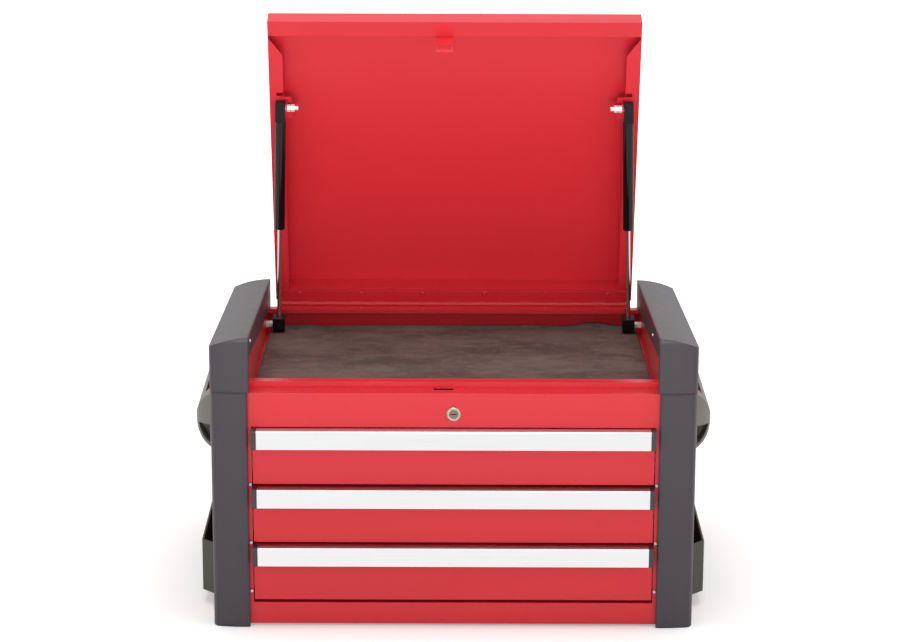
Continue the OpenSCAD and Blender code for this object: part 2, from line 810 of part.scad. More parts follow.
bracket_y = hinge_y - stud_along - 10.5;
plate_t = 1.6;
plate_r = 7;                // from the stud to the edges of the bracket's upright plate

// The lid's shell, shut: panel, four walls, return flanges and strut brackets
module lid_shell() {
    side_in = lid_x - lid_side_flange;
    relief_y0 = flange_edge;
    union() {
        difference() {
            block([-lid_x, lid_front, lid_z], [lid_x, lid_rear, lid_top]);
            block([-lid_x + sheet, lid_front + sheet, lid_z + sheet],
                  [lid_x - sheet, lid_rear - sheet, lid_top - sheet]);
            // the opening between the return flanges
            block([-side_in, flange_edge, lid_z - 1], [side_in, lid_rear - sheet, lid_z + 2 * sheet]);
            // the windows through which the strut brackets are welded
            for (side = [-1, 1]) on_side(side)
                block([upper_x - 3, bracket_y - 6, lid_z - 1],
                      [upper_x + 6, bracket_y - 0.5, lid_z + 2 * sheet]);
            // the reliefs where the front and side flanges meet
            for (side = [-1, 1]) on_side(side) {
                translate([0, 0, lid_z - 1]) linear_extrude(2 * sheet) polygon([
                    [side_in - 1, relief_y0], [lid_x - sheet, relief_y0],
                    [lid_x - sheet, relief_y0 + 4], [side_in, rim_back + 6],
                    [side_in - 1, rim_back + 6]]);
            }
        }
        // the flange that lies on the hinge
        block([-lid_x, lid_rear - touch, lid_z], [lid_x, hinge_y - 5, lid_z + sheet]);
        for (side = [-1, 1]) on_side(side) strut_bracket();
    }
}

// An angle under the side flange: its upright plate holds the strut's upper stud
module strut_bracket() {
    foot_z = lid_z - sheet;
    union() {
        block([plate_x - 6, bracket_y, foot_z],
              [upper_x + 4, bracket_y + stud_bracket_len, lid_z + touch]);
        block([plate_x, hinge_y - stud_along - plate_r, hinge_z - stud_below],
              [plate_x + plate_t, hinge_y - stud_along + plate_r, lid_z]);
        rod_x(plate_x, plate_x + plate_t, hinge_y - stud_along, hinge_z - stud_below, plate_r);
    }
}

module lid_panel() {
    color(red) lid_opened() difference() {
        lid_shell();
        rivet_holes(lid_rivet_y, lid_z);
        rod_x(-lid_x, lid_x, hinge_y - stud_along, hinge_z - stud_below, stud_r + run_fit);
    }
}

module striker_tab() {
    color(red) lid_opened() difference() {
        union() {
            block([tab_x - tab_w / 2, tab_y - tab_t, lid_z - tab_len],
                  [tab_x + tab_w / 2, tab_y, lid_z + sheet + tab_t]);
            block([tab_x - tab_w / 2, tab_y - 14, lid_z + sheet],
                  [tab_x + tab_w / 2, tab_y, lid_z + sheet + tab_t]);
        }
        block([tab_x - window_w / 2, tab_y - 2 * tab_t, lid_z - window_z - window_h / 2],
              [tab_x + window_w / 2, tab_y + 1, lid_z - window_z + window_h / 2]);
    }
}

module upper_studs() {
    stud_y = hinge_y - stud_along;
    stud_z = hinge_z - stud_below;
    color(steel) lid_opened() for (side = [-1, 1]) on_side(side) union() {
        rod_x(plate_x - 16, upper_x, stud_y, stud_z, stud_r);
        translate([upper_x, stud_y, stud_z]) sphere(ball_r);
        translate([plate_x - 5, stud_y, stud_z]) rotate([0, 90, 0]) cylinder(h = 5, r = 5.2, $fn = 6);
        translate([plate_x - 11, stud_y, stud_z]) rotate([0, 90, 0]) cylinder(h = 5, r = 5.2, $fn = 6);
    }
}

module lower_studs() {
    color(steel) for (side = [-1, 1]) on_side(side) union() {
        rod_x(lower_x - 8, bay_x + sheet + 5, lower_y, lower_z, stud_r);
        for (x = [bay_x - 4.2, bay_x - 9.4, bay_x + sheet])
            translate([x, lower_y, lower_z]) rotate([0, 90, 0])
                cylinder(h = 4.2, r = 5.2, $fn = 6);
    }
}

// ---- gas struts ----

// Puts a strut, drawn upward from the lower stud, at its place and slant
module strut_placed(side) {
    on_side(side) translate([lower_x, lower_y, lower_z])
        rotate([strut_angle, 0, 0]) rotate([0, -strut_splay, 0]) children();
}

module strut_rod(side) {
    piston_z = cylinder_foot + piston_rise;
    color(steel) strut_placed(side) union() {
        translate([0, 0, block_top]) cylinder(h = piston_z - block_top, r = rod_r);
        translate([0, 0, piston_z - touch]) cylinder(h = 6, r = cylinder_r - 1.2 - run_fit);
    }
}

module lower_socket(side) {
    color("darkslategray") difference() {
        strut_placed(side) union() {
            block([-8.7, -block_foot_r, 0], [8.7, block_foot_r, block_top]);
            intersection() {
                block([-8.7, -block_foot_r, -block_foot_r], [8.7, block_foot_r, block_top]);
                rod_x(-8.7, 8.7, 0, 0, block_corner_r);
            }
        }
        on_side(side) rod_x(lower_x - 20, bay_x, lower_y, lower_z, stud_r + run_fit);
    }
}

module gas_cylinder(side) {
    color("darkslategray") strut_placed(side) translate([0, 0, cylinder_foot]) difference() {
        cylinder(h = cylinder_len, r = cylinder_r);
        translate([0, 0, 10]) cylinder(h = cylinder_len - 14, r = cylinder_r - 1.2);
        translate([0, 0, -1]) cylinder(h = 12, r = rod_r + run_fit);
    }
}

// A hook that holds the ball from the front, open to the rear for the ball's way out
module upper_socket(side) {
    color("darkslategray") strut_placed(side) translate([0, 0, strut_len]) difference() {
        block([-6.4, -7, -socket_root], [7, 7, socket_end]);
        rod_x(-8, 8, 0, 0, ball_r + play);
        block([-8, -2.6, -socket_root + 2], [8, 8, ball_r + play]);
    }
}

// ---- lock, latch and drawer lock bar ----

module lock_housing() {
    color(steel) difference() {
        union() {
            rod_y(0, front_y - 2.5, front_y, lock_z, lock_flange_r);
            rod_y(0, front_y - touch, lock_back, lock_z, lock_body_r);
        }
        rod_y(0, front_y - 4, lock_back + 1, lock_z, barrel_r + run_fit);
    }
}

module lock_barrel() {
    color(steel) difference() {
        rod_y(0, front_y - 2.8, lock_back, lock_z, barrel_r);
        block([-4, front_y - 4, lock_z - 0.7], [4, front_y + 4, lock_z + 0.7]);
    }
}

module lock_cam() {
    color(steel) along_y(lock_back, lock_back + 1.5) union() {
        translate([0, lock_z]) circle(barrel_r);
        translate([0, lock_z - 3.5]) square([10.5, 7]);
        translate([10.5, lock_z]) circle(3.5);
    }
}

module latch_lever() {
    top = lever_z + 18.5;
    color(steel) union() {
        block([lever_x0, lever_y - 0.8, lever_z - 2.5], [lever_x1, lever_y + 0.8, top]);
        block([lever_x0, lever_y, lever_z + 11.5], [lever_x1, lever_y + 2.3, lever_z + 16.5]);
        rod_x(ear_x[0], ear_x[1] + ear_t, lever_y, lever_z, lever_pin_r);
    }
}

hook_rise = 1.5;            // from a tray's rear wall up to the unlocked hook

// A flat bar with a hook spot-welded to it for each drawer
module lock_bar() {
    bar_foot = drawer_z(3) - 12;
    bar_top = guide_z[2] + guide_h + lock_travel;
    wall_y = tray_y + tray_d;
    color(steel) {
        block([bar_x - bar_w / 2, bar_y, bar_foot], [bar_x + bar_w / 2, bar_y + bar_t, bar_top]);
        for (n = [1 : 3]) {
            z = drawer_z(n) + tray_floor + tray_t + tray_h + hook_rise;
            block([bar_x - 5, wall_y - 5, z + lock_travel + 0.5],
                  [bar_x + 5, bar_y - seam, z + lock_travel + 2.5]);
            block([bar_x - 5, wall_y - 5, z], [bar_x + 5, wall_y - 3.5, z + lock_travel + 0.5 - seam]);
        }
    }
}

// ---- the nodes ----

side_panel(-1);  // side_panel_left
side_panel(1);  // side_panel_right
inner_side(-1);  // inner_side_left
inner_side(1);  // inner_side_right
back_panel();
base_panel();
header_panel();
compartment_floor();
rear_shelf();
corner_post(-1);  // corner_post_left
corner_post(1);  // corner_post_right
side_cap(-1);  // side_cap_left
side_cap(1);  // side_cap_right
side_handle(-1);  // side_handle_left
side_handle(1);  // side_handle_right
side_pocket(-1);  // side_pocket_left
side_pocket(1);  // side_pocket_right
hinge_leaf_body();
hinge_pin();
body_rivets();
lower_studs();
compartment_mat();
lock_housing();
screws();
slides_outer();
slides_middle(1);  // slides_middle_1
slides_middle(2);  // slides_middle_2
slides_middle(3);  // slides_middle_3
slides_inner(1);  // slides_inner_1
slides_inner(2);  // slides_inner_2
slides_inner(3);  // slides_inner_3
drawer_tray(1);  // drawer_tray_1
drawer_tray(2);  // drawer_tray_2
drawer_tray(3);  // drawer_tray_3
drawer_front(1);  // drawer_front_1
drawer_front(2);  // drawer_front_2
drawer_front(3);  // drawer_front_3
grip_rail(1);  // grip_rail_1
grip_rail(2);  // grip_rail_2
grip_rail(3);  // grip_rail_3
grip_caps(1);  // grip_caps_1
grip_caps(2);  // grip_caps_2
grip_caps(3);  // grip_caps_3
lid_panel();
hinge_leaf_lid();
lid_rivets();
striker_tab();
upper_studs();
lock_barrel();
lock_cam();
latch_lever();
lock_bar();
strut_rod(-1);  // strut_rod_left
strut_rod(1);  // strut_rod_right
lower_socket(-1);  // lower_socket_left
lower_socket(1);  // lower_socket_right
gas_cylinder(-1);  // gas_cylinder_left
gas_cylinder(1);  // gas_cylinder_right
upper_socket(-1);  // upper_socket_left
upper_socket(1);  // upper_socket_right
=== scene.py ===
import json
import math

import bmesh
import bpy
from mathutils import Matrix, Vector, noise


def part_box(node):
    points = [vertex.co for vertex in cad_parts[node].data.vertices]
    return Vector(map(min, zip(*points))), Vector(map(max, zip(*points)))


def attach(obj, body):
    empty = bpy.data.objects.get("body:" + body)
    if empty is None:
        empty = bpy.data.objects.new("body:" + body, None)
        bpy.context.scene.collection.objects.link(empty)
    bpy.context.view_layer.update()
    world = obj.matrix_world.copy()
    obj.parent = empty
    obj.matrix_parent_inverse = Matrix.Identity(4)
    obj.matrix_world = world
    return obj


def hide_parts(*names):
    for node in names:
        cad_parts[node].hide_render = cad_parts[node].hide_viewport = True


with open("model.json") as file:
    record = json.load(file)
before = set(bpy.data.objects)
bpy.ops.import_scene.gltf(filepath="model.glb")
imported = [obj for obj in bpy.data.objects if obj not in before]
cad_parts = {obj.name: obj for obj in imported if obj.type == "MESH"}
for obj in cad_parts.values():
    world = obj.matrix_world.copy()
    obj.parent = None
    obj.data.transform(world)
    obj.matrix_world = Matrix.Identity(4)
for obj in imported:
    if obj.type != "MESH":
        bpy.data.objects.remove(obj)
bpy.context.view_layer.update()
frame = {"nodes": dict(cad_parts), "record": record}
NODES = frame["nodes"]

# Metres and degrees throughout, except where a name says otherwise.
UP = Vector((0, 0, 1))
FORWARD = Vector((0, -1, 0))
RIGHT = Vector((1, 0, 0))

LOCK_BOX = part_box("lock_housing")
LOCK_Z = (LOCK_BOX[0].z + LOCK_BOX[1].z) / 2


# ---------------------------------------------------------------- materials

def srgb(r, g, b):
    """An 8-bit colour as the linear one that a shader takes."""
    def linear(c):
        c /= 255
        return c / 12.92 if c <= 0.04045 else ((c + 0.055) / 1.055) ** 2.4
    return (linear(r), linear(g), linear(b), 1.0)


def tint(colour, r, g, b):
    """The colour with each of its channels scaled."""
    return (colour[0] * r, colour[1] * g, colour[2] * b, 1.0)


def shade(colour, k):
    """The colour made lighter or darker."""
    return tint(colour, k, k, k)


class Shader:
    """A principled material with helpers for the nodes that feed it."""

    def __init__(self, name, **values):
        self.mat = bpy.data.materials.new(name)
        self.mat.use_nodes = True
        self.tree = self.mat.node_tree
        self.bsdf = self.tree.nodes["Principled BSDF"]
        self.normal = None
        for key, value in values.items():
            self.bsdf.inputs[key.replace("_", " ")].default_value = value

    def node(self, kind, **settings):
        """A new node; each setting is an input of it if it has one of that name, and else a property."""
        n = self.tree.nodes.new(kind)
        for key, value in settings.items():
            if key in n.inputs:
                n.inputs[key].default_value = value
            else:
                setattr(n, key, value)
        return n

    def link(self, a, b):
        self.tree.links.new(a, b)

    def coords(self, stretch=(1, 1, 1)):
        """Object coordinates, scaled along each axis."""
        tex = self.node("ShaderNodeTexCoord")
        mapping = self.node("ShaderNodeMapping")
        mapping.inputs["Scale"].default_value = stretch
        self.link(tex.outputs["Object"], mapping.inputs["Vector"])
        return mapping.outputs["Vector"]

    def noise(self, scale, detail=3.0, rough=0.55, stretch=(1, 1, 1), distortion=0.0):
        n = self.node("ShaderNodeTexNoise", Scale=scale, Detail=detail, Roughness=rough,
                      Distortion=distortion)
        self.link(self.coords(stretch), n.inputs["Vector"])
        return n.outputs["Fac"]

    def cells(self, scale):
        n = self.node("ShaderNodeTexVoronoi", Scale=scale)
        self.link(self.coords(), n.inputs["Vector"])
        return n.outputs["Distance"]

    def spread(self, value, low, high, start=0.3, end=0.7):
        """Maps the stretch of a value from start to end onto low to high."""
        n = self.node("ShaderNodeMapRange")
        for key, level in (("From Min", start), ("From Max", end), ("To Min", low), ("To Max", high)):
            n.inputs[key].default_value = level
        self.link(value, n.inputs["Value"])
        return n.outputs["Result"]

    def mix(self, share, a, b):
        """Mixes two colours, each of them a socket or a fixed colour."""
        n = self.node("ShaderNodeMix", data_type="RGBA")
        share_in, first_in, second_in, colour_out = n.inputs[0], n.inputs[6], n.inputs[7], n.outputs[2]
        for socket, value in ((share_in, share), (first_in, a), (second_in, b)):
            if isinstance(value, bpy.types.NodeSocket):
                self.link(value, socket)
            else:
                socket.default_value = value
        return colour_out

    def multiply(self, a, b):
        n = self.node("ShaderNodeMath", operation="MULTIPLY")
        self.link(a, n.inputs[0])
        self.link(b, n.inputs[1])
        return n.outputs[0]

    def colour(self, value):
        self.link(value, self.bsdf.inputs["Base Color"])

    def rough(self, value):
        self.link(value, self.bsdf.inputs["Roughness"])

    def round_edges(self, radius):
        """Shades sharp edges as if they had this radius, as a coat or a mould gives them."""
        self.normal = self.node("ShaderNodeBevel", samples=5, Radius=radius).outputs["Normal"]
        self.link(self.normal, self.bsdf.inputs["Normal"])

    def bump(self, value, distance):
        """Adds a relief of this height to the relief that is there."""
        n = self.node("ShaderNodeBump", Distance=distance, Strength=1.0)
        self.link(value, n.inputs["Height"])
        if self.normal is not None:
            self.link(self.normal, n.inputs["Normal"])
        self.normal = n.outputs["Normal"]
        self.link(self.normal, self.bsdf.inputs["Normal"])


PAINT_EDGE = 0.0006
PAINT_PEEL = 0.0000012
PLASTIC_GRAIN = 0.000003
METAL_EDGE = 0.0004
METAL_RELIEF = 0.000002
FIBRE_RELIEF = 0.00022
MATTED_RELIEF = 0.0003


def paint(name, colour, rough=0.3, specular=0.42):
    """Powder coat: a fine orange peel and a slow drift in colour and gloss."""
    s = Shader(name, IOR=1.5, Specular_IOR_Level=specular)
    s.round_edges(PAINT_EDGE)
    drift = s.noise(4, 2, stretch=(0.6, 1, 1.6))
    s.colour(s.mix(s.spread(drift, 0, 1), shade(colour, 0.975), shade(colour, 1.025)))
    s.rough(s.spread(s.noise(60, 3), rough - 0.02, rough + 0.03))
    s.bump(s.noise(330, 2, 0.5), PAINT_PEEL)
    return s.mat


def moulded(name, colour, rough, specular=0.4, edge=0.001):
    """Moulded plastic: fine grain, slightly uneven gloss and faint pale scuffs."""
    s = Shader(name, IOR=1.48, Specular_IOR_Level=specular)
    s.round_edges(edge)
    drift = s.mix(s.spread(s.noise(6, 2), 0, 1), shade(colour, 0.96), shade(colour, 1.04))
    scuffs = s.spread(s.noise(120, 5, 0.7), 0.0, 0.025, 0.52, 0.78)
    s.colour(s.mix(scuffs, drift, shade(colour, 1.5)))
    s.rough(s.spread(s.noise(50, 4), rough - 0.012, rough + 0.015))
    s.bump(s.cells(700), PLASTIC_GRAIN)
    return s.mat


def brushed(name, colour, rough, stretch):
    """Metal with fine lines along the axis that is stretched least."""
    s = Shader(name, Metallic=1.0)
    s.round_edges(METAL_EDGE)
    lines = s.noise(1, 3, 0.6, stretch=stretch)
    s.colour(s.mix(s.spread(lines, 0, 1, 0.35, 0.65), shade(colour, 0.97), shade(colour, 1.02)))
    s.rough(s.spread(lines, rough - 0.03, rough + 0.05))
    s.bump(lines, METAL_RELIEF)
    return s.mat


def plated(name, colour, rough, spots=0.1, metallic=1.0):
    """Metal with the mottle of a plating."""
    s = Shader(name, Metallic=metallic)
    s.round_edges(METAL_EDGE)
    mottle = s.noise(220, 5, 0.65)
    s.colour(s.mix(s.spread(mottle, 0, 1), shade(colour, 1 - spots), shade(colour, 1 + spots / 2)))
    s.rough(s.spread(s.noise(90, 4), rough - 0.05, rough + 0.08))
    s.bump(mottle, METAL_RELIEF)
    return s.mat


def felt(name, colour):
    """Worn compartment lining: matted fibres, rubbed patches and pale wear."""
    s = Shader(name, Roughness=0.95, Specular_IOR_Level=0.15)
    fibres = s.noise(800, 4, 0.7, distortion=1.2)
    patches = s.spread(s.noise(9, 6, 0.68, stretch=(1, 1.7, 1)), 0, 1, 0.4, 0.6)
    streaks = s.spread(s.noise(26, 6, 0.7, stretch=(0.8, 1.5, 1), distortion=0.3), 0, 0.5, 0.48, 0.66)
    wear = s.spread(s.noise(70, 5, 0.72), 0, 0.6, 0.56, 0.7)
    cloth = s.mix(patches, shade(colour, 0.66), shade(colour, 1.22))
    cloth = s.mix(streaks, cloth, tint(colour, 1.45, 1.55, 1.5))
    cloth = s.mix(wear, cloth, tint(colour, 1.75, 1.7, 1.6))
    s.colour(s.mix(s.spread(fibres, 0, 0.4), cloth, shade(colour, 0.58)))
    s.bump(fibres, FIBRE_RELIEF)
    s.bump(s.noise(150, 3), MATTED_RELIEF)
    return s.mat


# The finish of each material slot
FINISHES = {
    "red_paint": paint("red_paint", srgb(207, 40, 49)),
    "dark_plastic": moulded("dark_plastic", srgb(62, 57, 62), 0.42, specular=0.45, edge=0.005),
    "grey_plastic": moulded("grey_plastic", srgb(122, 121, 116), 0.46, edge=0.004),
    "olive_plastic": moulded("olive_plastic", srgb(72, 72, 63), 0.55, edge=0.0015),
    "aluminium": brushed("aluminium", srgb(237, 239, 239), 0.38, (9, 1500, 1500)),
    "zinc": plated("zinc", srgb(214, 214, 212), 0.28),
    "chrome": plated("chrome", srgb(232, 228, 222), 0.1, spots=0.02),
    "black_paint": paint("black_paint", srgb(10, 10, 11), 0.12, 0.4),
    "black_plastic": moulded("black_plastic", srgb(17, 18, 17), 0.42, specular=0.3),
    "felt": felt("felt", srgb(100, 87, 81)),
}
LOCK_FACE = plated("lock_face", srgb(138, 136, 116), 0.35, spots=0.2)
LOCK_RING = plated("lock_ring", srgb(206, 195, 176), 0.24, spots=0.06)
# Near-black for the key slot: painted shade in the recess
KEYWAY_SHADE = moulded("keyway_shade", srgb(20, 18, 16), 0.6)
# A near-white, half-metallic copy of the zinc for the strut studs: a painted glint, so that they show bright
# though they sit in shade
ZINC_PAINTED_GLINT = plated("zinc_painted_glint", srgb(246, 246, 244), 0.4, spots=0.03, metallic=0.35)
CAP_PLASTIC = moulded("cap_plastic", srgb(60, 57, 60), 0.42, edge=0.0012)

# The nodes whose finish differs from that of their slot
OWN_FINISHES = {
    "lock_barrel": LOCK_FACE,
    "lock_housing": LOCK_RING,
    "lower_studs": ZINC_PAINTED_GLINT,
    "upper_studs": ZINC_PAINTED_GLINT,
    "grip_caps_1": CAP_PLASTIC,
    "grip_caps_2": CAP_PLASTIC,
    "grip_caps_3": CAP_PLASTIC,
}


# ---------------------------------------------------------------- finish of the CAD nodes

WELD_DISTANCE = 0.00001
CREASE_ANGLE = 30


def dress(name, mat):
    """Gives a node its material and smooth curves between crisp edges."""
    obj = NODES[name]
    obj.data.materials.clear()
    obj.data.materials.append(mat)
    for face in obj.data.polygons:
        face.use_smooth = True
    obj.modifiers.new("weld", "WELD").merge_threshold = WELD_DISTANCE
    obj.modifiers.new("creases", "EDGE_SPLIT").split_angle = math.radians(CREASE_ANGLE)
    obj.modifiers.new("normals", "WEIGHTED_NORMAL").weight = 100


def paint_keyway_shade():
    """Paints shade into the key slot of the lock's barrel: its walls, and what lies level with it further
    in, are made dark.
    """
    half_height, half_length, level_reach, depth = 0.00075, 0.0042, 0.0005, 0.0033
    deep_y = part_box("lock_barrel")[0].y + depth
    barrel = NODES["lock_barrel"].data
    barrel.materials.append(KEYWAY_SHADE)
    for face in barrel.polygons:
        off_axis = abs(face.center.z - LOCK_Z)
        sideways = abs(face.normal.y) < 0.5
        is_wall = off_axis < half_height and abs(face.center.x) < half_length and sideways
        is_deep = off_axis < level_reach and face.center.y > deep_y
        if is_wall or is_deep:
            face.material_index = 1


for part in frame["record"]["subparts"]:
    dress(part["node"], OWN_FINISHES.get(part["node"], FINISHES[part["material_slot"]]))
paint_keyway_shade()


# ---------------------------------------------------------------- meshes of the added pieces

def add_piece(name, bm, body, slot, mat=None, smooth=True):
    """Makes an object of the mesh, which rides on a body and takes its finish from a slot."""
    bmesh.ops.recalc_face_normals(bm, faces=bm.faces)
    mesh = bpy.data.meshes.new(name)
    bm.to_mesh(mesh)
    bm.free()
    for face in mesh.polygons:
        face.use_smooth = smooth
    mesh.materials.append(mat or FINISHES[slot])
    obj = bpy.data.objects.new(name, mesh)
    bpy.context.scene.collection.objects.link(obj)
    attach(obj, body)
    return obj


def make_ring(bm, radius, height, segments):
    """A ring of points round Z, or a single point where the radius is nothing."""
    if radius <= 0:
        return [bm.verts.new((0, 0, height))]
    angles = [2 * math.pi * k / segments for k in range(segments)]
    return [bm.verts.new((radius * math.cos(a), radius * math.sin(a), height)) for a in angles]


def join_rings(bm, low, high, segments):
    for k in range(segments):
        j = (k + 1) % segments
        if len(low) == 1:
            bm.faces.new((low[0], high[k], high[j]))
        elif len(high) == 1:
            bm.faces.new((low[k], low[j], high[0]))
        else:
            bm.faces.new((low[k], low[j], high[j], high[k]))


def press_cross(verts, top, reach, depth):
    """Presses a cross recess into a head: reach is from its middle to the end of an arm."""
    half_arm = reach * 0.24
    lowest = top * 0.4
    for v in verts:
        x, y, z = v.co
        if z > lowest and math.hypot(x, y) < reach and min(abs(x), abs(y)) < half_arm:
            v.co.z -= depth


def turn(bm, profile, place, axis, segments, reach=0.0, depth=0.0):
    """Lathes (radius, height) pairs round an axis, with a cross recess if it has a reach."""
    rings = [make_ring(bm, radius, height, segments) for radius, height in profile]
    for low, high in zip(rings, rings[1:]):
        join_rings(bm, low, high, segments)
    verts = [v for ring in rings for v in ring]
    if reach:
        press_cross(verts, max(height for _, height in profile), reach, depth)
    aim = UP.rotation_difference(axis).to_matrix().to_4x4()
    bmesh.ops.transform(bm, matrix=Matrix.Translation(place) @ aim, verts=verts)


def pan_head(r, h):
    """Profile of a pan head from its seat to its top, dense enough for a recess."""
    rim = [(r, 0), (r, h * 0.35), (r * 0.97, h * 0.6), (r * 0.9, h * 0.82), (r * 0.78, h * 0.95)]
    flat_r, rings = r * 0.7, 9
    flat = [(flat_r * (1 - k / rings), h) for k in range(rings)]
    return rim + flat + [(0, h)]


# ---------------------------------------------------------------- the lining of the top compartment

FELT_THICK = 0.0026
FELT_GAP = 0.0001          # under the felt, at its lowest
RIPPLE_LIFT = 0.0004

REAR_BAND = 0.035          # depth of the rear part that draws in and lifts
REAR_INSET = 0.005
REAR_INSET_WAVE = 0.004
REAR_LIFT_WAVE = 0.0016

SIDE_BAND = 0.02           # width of the parts at the sides that draw in
SIDE_INSET = 0.0045        # at the rear; none at the front
SIDE_INSET_WAVE = 0.0012
LEVEL_BAND = 0.03          # width of the parts at the sides that come down to the floor

CURL_X = 0.205             # where the rear edge lifts most, near the right strut
CURL_WIDTH = 0.022
CURL_LIFT = 0.0055


def felt_point(u, v, low, high):
    """The felt's underside at a share of its width (u, from the left) and depth (v, from the front)."""
    width, depth = high.x - low.x, high.y - low.y
    x, y = low.x + width * u, low.y + depth * v
    to_side = min(u, 1 - u) * width
    rear = max(0.0, 1 - (1 - v) * depth / REAR_BAND)
    side = max(0.0, 1 - to_side / SIDE_BAND)

    y -= rear * (REAR_INSET + REAR_INSET_WAVE * noise.noise(Vector((x * 16, 0.3, 0.7))))
    inset = SIDE_INSET * v + SIDE_INSET_WAVE * noise.noise(Vector((0.4, y * 24, 1.9)))
    x += side * max(0.0, inset) * (1 if u < 0.5 else -1)

    ripple = RIPPLE_LIFT * (noise.noise(Vector((x * 12, y * 12, 3.1))) + 1)
    curl = CURL_LIFT * math.exp(-((x - CURL_X) / CURL_WIDTH) ** 2) * rear ** 1.5
    wave = REAR_LIFT_WAVE * rear * max(0.0, noise.noise(Vector((x * 20, 2.0, 5.5))))
    z = low.z + FELT_GAP + (ripple + curl + wave) * min(1.0, to_side / LEVEL_BAND)
    return (x, y, z)


def lay_felt():
    """A sheet of felt, slightly rippled, with a wavy rear edge that lifts near the right strut."""
    low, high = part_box("compartment_mat")
    columns, rows = 200, 130
    points = [[felt_point(i / columns, j / rows, low, high) for i in range(columns + 1)]
              for j in range(rows + 1)]
    bm = bmesh.new()
    b = [[bm.verts.new(p) for p in line] for line in points]
    t = [[bm.verts.new((x, y, z + FELT_THICK)) for x, y, z in line] for line in points]
    for j in range(rows):
        for i in range(columns):
            bm.faces.new((b[j][i], b[j + 1][i], b[j + 1][i + 1], b[j][i + 1]))
            bm.faces.new((t[j][i], t[j][i + 1], t[j + 1][i + 1], t[j + 1][i]))
    rim = [(j, 0) for j in range(rows)] + [(rows, i) for i in range(columns)]
    rim += [(j, columns) for j in range(rows, 0, -1)] + [(0, i) for i in range(columns, 0, -1)]
    for (j0, i0), (j1, i1) in zip(rim, rim[1:] + rim[:1]):
        bm.faces.new((b[j0][i0], t[j0][i0], t[j1][i1], b[j1][i1]))
    obj = add_piece("felt_lining", bm, "body", "felt")
    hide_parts("compartment_mat")


# ---------------------------------------------------------------- strips, sleeve, screws and the lock's face

def channel_shade_strips():
    """A thin dark strip along the top of each drawer front, at the back of the finger channel: painted shade
    for the shadow deep in the channel.
    """
    height, thick, sunk = 0.0042, 0.0007, 0.0001
    below_top = 0.0046     # from the front's top to the strip's foot
    end_gap = 0.0012       # from the rail's end to the strip's end
    near, far = 0.0003, 0.0009  # where its rounded edges bend, measured along its height
    for n in (1, 2, 3):
        low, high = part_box(f"drawer_front_{n}")
        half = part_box(f"grip_rail_{n}")[1].x - end_gap
        foot = high.z - below_top
        back, chamfer, face = low.y + sunk, low.y - thick * 0.6, low.y - thick
        profile = [(back, 0), (chamfer, near), (face, far),
                   (face, height - far), (chamfer, height - near), (back, height)]
        bm = bmesh.new()
        left, right = ([bm.verts.new((x, y, foot + z)) for y, z in profile] for x in (-half, half))
        for k in range(len(profile)):
            j = (k + 1) % len(profile)
            bm.faces.new((left[k], left[j], right[j], right[k]))
        bm.faces.new(left)
        bm.faces.new(reversed(right))
        add_piece(f"channel_shade_strip_{n}", bm, f"drawer_{n}", "black_plastic", smooth=False)


def hinge_coat():
    """A red sleeve inside the hinge's knuckles, which closes the gaps between them to the eye."""
    low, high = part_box("hinge_pin")
    inset, radius = 0.0003, 0.0031
    length = high.x - low.x - 2 * inset
    start = (low.x + inset, (low.y + high.y) / 2, (low.z + high.z) / 2)
    bm = bmesh.new()
    turn(bm, [(0, 0), (radius, 0), (radius, length), (0, length)], start, RIGHT, 32)
    add_piece("hinge_coat", bm, "body", "red_paint")


def strip_screws():
    """Pan heads with a cross recess over the heads of the six screws in the side strips."""
    strip_x = (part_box("inner_side_right")[0].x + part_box("corner_post_right")[0].x) / 2
    sunk = 0.0001
    seat_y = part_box("screws")[0].y + sunk
    levels = (0.0498, 0.1184, 0.2000)
    head = pan_head(0.0023, 0.0012)
    bm = bmesh.new()
    for x in (-strip_x, strip_x):
        for z in levels:
            turn(bm, head, (x, seat_y, z), FORWARD, 48, reach=0.0015, depth=0.0006)
    add_piece("strip_screw_heads", bm, "body", "zinc")


def cap_screws():
    """One small screw through the inner skirt of each side cap."""
    left = (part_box("side_cap_left")[1].x, -0.2040, 0.3915)
    right = (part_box("side_cap_right")[0].x, -0.1120, 0.3760)
    head = pan_head(0.0024, 0.0013)
    bm = bmesh.new()
    for place, inward in ((left, RIGHT), (right, -RIGHT)):
        turn(bm, head, place, inward, 48, reach=0.0016, depth=0.0007)
    add_piece("cap_screw_heads", bm, "body", "zinc")


def lock_bezel():
    """The rounded ring round the lock's face."""
    bore, sunk = 0.0063, -0.0004
    profile = [(bore, 0), (bore, 0.0007), (0.0066, 0.0011), (0.0074, 0.0012), (0.0083, 0.0009),
               (0.0089, 0.0003), (0.0091, sunk), (bore, sunk), (bore, 0)]
    bm = bmesh.new()
    turn(bm, profile, (0, LOCK_BOX[0].y, LOCK_Z), FORWARD, 64)
    add_piece("lock_bezel", bm, "body", "zinc", LOCK_RING)


def lock_tab():
    """The small red knob that the photo shows just over the lock."""
    above_lock = 0.0098
    profile = [(0.0030, 0), (0.0029, 0.0005), (0.0024, 0.0009), (0.0014, 0.0011), (0, 0.0011)]
    bm = bmesh.new()
    turn(bm, profile, (0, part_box("header_panel")[0].y, LOCK_Z + above_lock), FORWARD, 32)
    add_piece("lock_tab", bm, "body", "red_paint")


lay_felt()
channel_shade_strips()
hinge_coat()
strip_screws()
cap_screws()
lock_bezel()
lock_tab()


# ---------------------------------------------------------------- stage, light and camera

FLOOR_HALF = 14
FLOOR_DROP = 0.0004
# Between these distances the floor, as the camera sees it, turns from shaded to white
SHADOW_REACH = (0.7, 2.4)
SHADOW_GLOW = 0.3
MIRRORED_GLOW = 0.1


